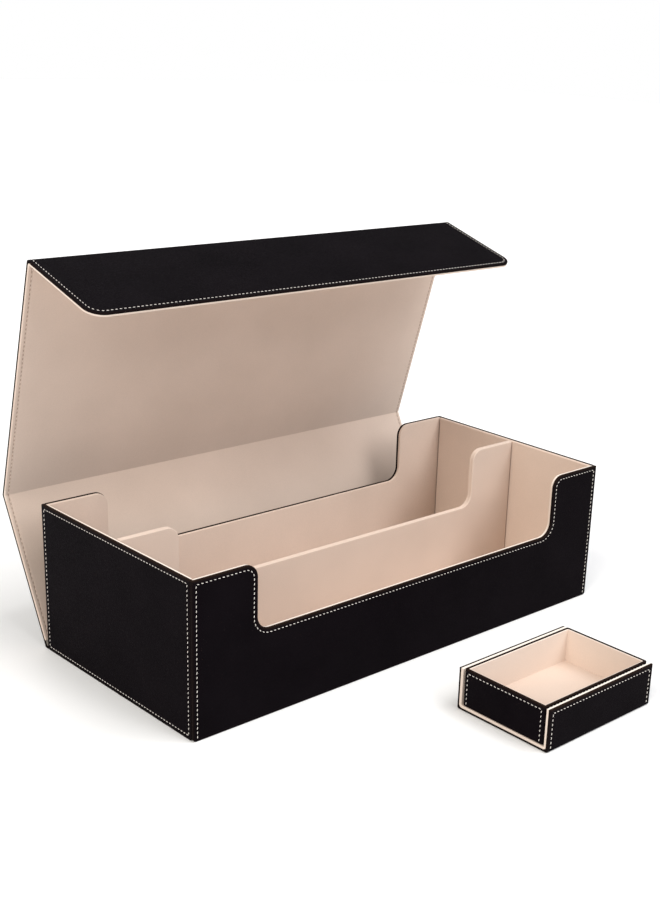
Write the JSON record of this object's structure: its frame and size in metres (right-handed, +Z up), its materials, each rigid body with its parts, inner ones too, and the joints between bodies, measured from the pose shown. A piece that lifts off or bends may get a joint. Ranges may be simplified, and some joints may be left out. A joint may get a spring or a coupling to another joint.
{
  "type": "card deck box",
  "caption": "Long open box with a divided tray for sleeved card decks, finger notches, a wrap-over lid with a magnetic flap, and a small sleeve-and-tray box beside it.",
  "frame": {"origin": "centre of the main tray's underside, on the surface it stands on", "axes": "+X along the box to the right seen from the front, +Y to the back where the lid is hinged, +Z up"},
  "size_m": [0.352, 0.3482, 0.2519],
  "materials": {
    "leather_black": "fine-grained matte leatherette with off-white edge stitching",
    "lining_beige": "short-nap beige microfibre",
    "greyboard": "plain grey binder's board",
    "magnet_steel": "nickel-plated disc"
  },
  "bodies": {
    "tray": {"front_skin": "leather_black", "back_skin": "leather_black", "left_end_skin": "leather_black", "right_end_skin": "leather_black", "base_skin": "leather_black", "front_lining": "lining_beige", "back_lining": "lining_beige", "left_end_lining": "lining_beige", "right_end_lining": "lining_beige", "base_lining": "lining_beige", "divider_cover": "lining_beige", "front_board": "greyboard", "back_board": "greyboard", "left_end_board": "greyboard", "right_end_board": "greyboard", "base_board": "greyboard", "divider_board": "greyboard", "front_magnet_left": "magnet_steel", "front_magnet_right": "magnet_steel"},
    "lid_back": {"lid_back_skin": "leather_black", "lid_back_board": "greyboard", "lid_back_lining": "lining_beige"},
    "lid_top": {"lid_top_skin": "leather_black", "lid_top_board": "greyboard", "lid_top_lining": "lining_beige"},
    "flap": {"flap_skin": "leather_black", "flap_board": "greyboard", "flap_lining": "lining_beige", "flap_magnet_left": "magnet_steel", "flap_magnet_right": "magnet_steel"},
    "sleeve": {"sleeve_skin": "leather_black", "sleeve_board": "greyboard", "sleeve_lining": "lining_beige"},
    "small_tray": {"small_tray_skin": "leather_black", "small_tray_board": "greyboard", "small_tray_lining": "lining_beige"}
  },
  "joints": [
    {"name": "lid_back_hinge", "type": "hinge", "parent": "tray", "child": "lid_back", "pos_m": [0, 0.0832, 0], "axis": [-1, 0, 0], "range_deg": [-26.6, 63.4]},
    {"name": "lid_top_fold", "type": "hinge", "parent": "lid_back", "child": "lid_top", "pos_m": [0, 0.12941, 0.09228], "axis": [-1, 0, 0], "range_deg": [-47, 43]},
    {"name": "flap_fold", "type": "hinge", "parent": "lid_top", "child": "flap", "pos_m": [0, 0.08243, 0.25191], "axis": [-1, 0, 0], "range_deg": [0, 90]},
    {"name": "sleeve_slide", "type": "slide", "parent": "tray", "child": "sleeve", "axis": [0, -1, 0], "range_m": [0, 0.1]},
    {"name": "small_tray_slide", "type": "slide", "parent": "sleeve", "child": "small_tray", "axis": [1, 0, 0], "range_m": [-0.095, 0.095]}
  ]
}
